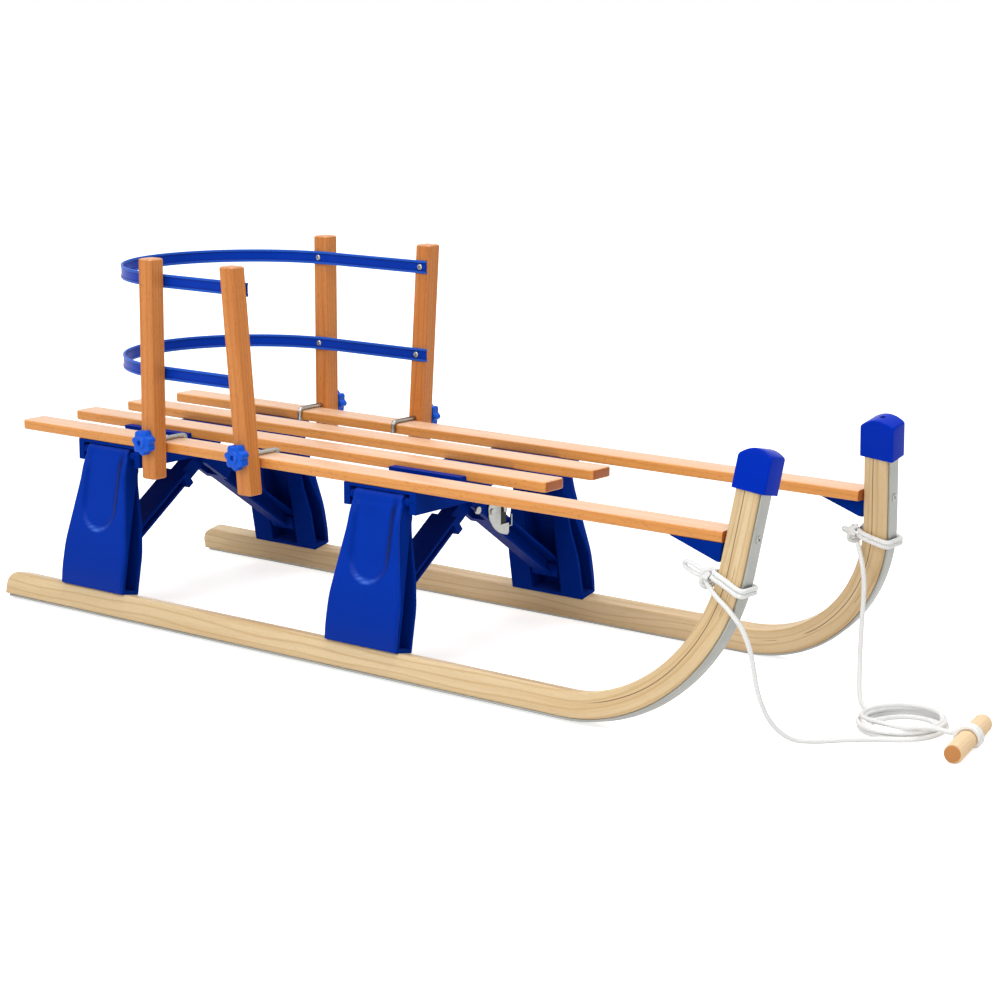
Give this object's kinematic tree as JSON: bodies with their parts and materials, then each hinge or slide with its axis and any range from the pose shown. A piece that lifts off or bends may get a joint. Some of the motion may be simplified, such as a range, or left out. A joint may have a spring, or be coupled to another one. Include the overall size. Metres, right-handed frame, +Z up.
{
  "type": "folding sled",
  "caption": "Folding wooden sled with bent runners, moulded cross-frames, slat seat, a removable strap backrest and a tow rope.",
  "frame": {"origin": "centre of the sled's footprint at the floor, cords left out", "axes": "+X forward towards the horns, +Y to the sled's left, +Z up"},
  "size_m": [1.2303, 0.3666, 0.4296],
  "materials": {
    "runner_wood": "pale ash, clear satin lacquer",
    "seat_wood": "beech, clear satin lacquer",
    "post_wood": "beech, oiled",
    "handle_wood": "turned beech, bare",
    "leg_plastic": "glossy moulded plastic",
    "bracket_plastic": "glossy moulded plastic",
    "cap_plastic": "glossy moulded plastic",
    "band_plastic": "satin plastic strip",
    "knob_plastic": "glossy moulded plastic",
    "strip_steel": "rolled steel, light wear",
    "zinc_steel": "bright zinc plate",
    "rope": "braided white cord"
  },
  "bodies": {
    "side_right": {"runner_right": "runner_wood", "runner_strip_right": "strip_steel", "horn_cap_right": "cap_plastic", "leg_rear_right": "leg_plastic", "leg_front_right": "leg_plastic", "horn_pin_right": "zinc_steel", "rope_knot_right": "rope", "rope_strand_right": "rope", "rope_coil": "rope", "rope_handle_loop": "rope", "tow_handle": "handle_wood"},
    "seat_right": {"slat_inner_right": "seat_wood", "slat_outer_right": "seat_wood", "bracket_rear_right": "bracket_plastic", "bracket_front_right": "bracket_plastic", "wedge_right": "bracket_plastic", "knee_pin_rear": "zinc_steel", "knee_pin_front": "zinc_steel"},
    "seat_left": {"slat_inner_left": "seat_wood", "slat_outer_left": "seat_wood", "bracket_rear_left": "bracket_plastic", "bracket_front_left": "bracket_plastic", "wedge_left": "bracket_plastic"},
    "side_left": {"runner_left": "runner_wood", "runner_strip_left": "strip_steel", "horn_cap_left": "cap_plastic", "leg_rear_left": "leg_plastic", "leg_front_left": "leg_plastic", "horn_pin_left": "zinc_steel", "rope_knot_left": "rope", "rope_strand_left": "rope"},
    "struts_right": {"strut_rear_right": "leg_plastic", "strut_front_right": "leg_plastic"},
    "struts_left": {"strut_rear_left": "leg_plastic", "strut_front_left": "leg_plastic", "strut_pin_rear": "zinc_steel", "strut_pin_front": "zinc_steel", "latch_plate": "zinc_steel", "latch_stud": "zinc_steel"},
    "backrest": {"band_lower": "band_plastic", "band_upper": "band_plastic", "hook_bolt_front_left": "zinc_steel", "hook_bolt_front_right": "zinc_steel", "hook_bolt_rear_left": "zinc_steel", "hook_bolt_rear_right": "zinc_steel", "post_front_left": "post_wood", "post_front_right": "post_wood", "post_rear_left": "post_wood", "post_rear_right": "post_wood", "star_knob_front_left": "knob_plastic", "star_knob_front_right": "knob_plastic", "star_knob_rear_left": "knob_plastic", "star_knob_rear_right": "knob_plastic"}
  },
  "joints": [
    {"name": "fold", "type": "hinge", "parent": "side_right", "child": "seat_right", "pos_m": [0, -0.1414, 0.1925], "axis": [1, 0, 0], "range_deg": [0, 72]},
    {"name": "seat_knee", "type": "hinge", "parent": "seat_right", "child": "seat_left", "pos_m": [0, 0, 0.193], "axis": [1, 0, 0], "range_deg": [-144, 0]},
    {"name": "side_left_hinge", "type": "hinge", "parent": "seat_left", "child": "side_left", "pos_m": [0, 0.1414, 0.1925], "axis": [1, 0, 0], "range_deg": [0, 72], "deforming": ["rope_strand_left"]},
    {"name": "strut_right_foot", "type": "hinge", "parent": "side_right", "child": "struts_right", "pos_m": [0, -0.15692, 0.06023], "axis": [1, 0, 0], "range_deg": [0, 37.27]},
    {"name": "strut_left_foot", "type": "hinge", "parent": "side_left", "child": "struts_left", "pos_m": [0, 0.15692, 0.06023], "axis": [1, 0, 0], "range_deg": [-37.27, 0]},
    {"name": "backrest_lift", "type": "slide", "parent": "seat_right", "child": "backrest", "axis": [0, 0, 1], "range_m": [0, 0.15]}
  ],
  "couplings": [
    {"joint": "seat_knee", "follows": "fold", "ratio": -2},
    {"joint": "side_left_hinge", "follows": "fold", "ratio": 1},
    {"joint": "strut_right_foot", "follows": "fold", "ratio": 0.5162},
    {"joint": "strut_left_foot", "follows": "fold", "ratio": -0.5162}
  ]
}
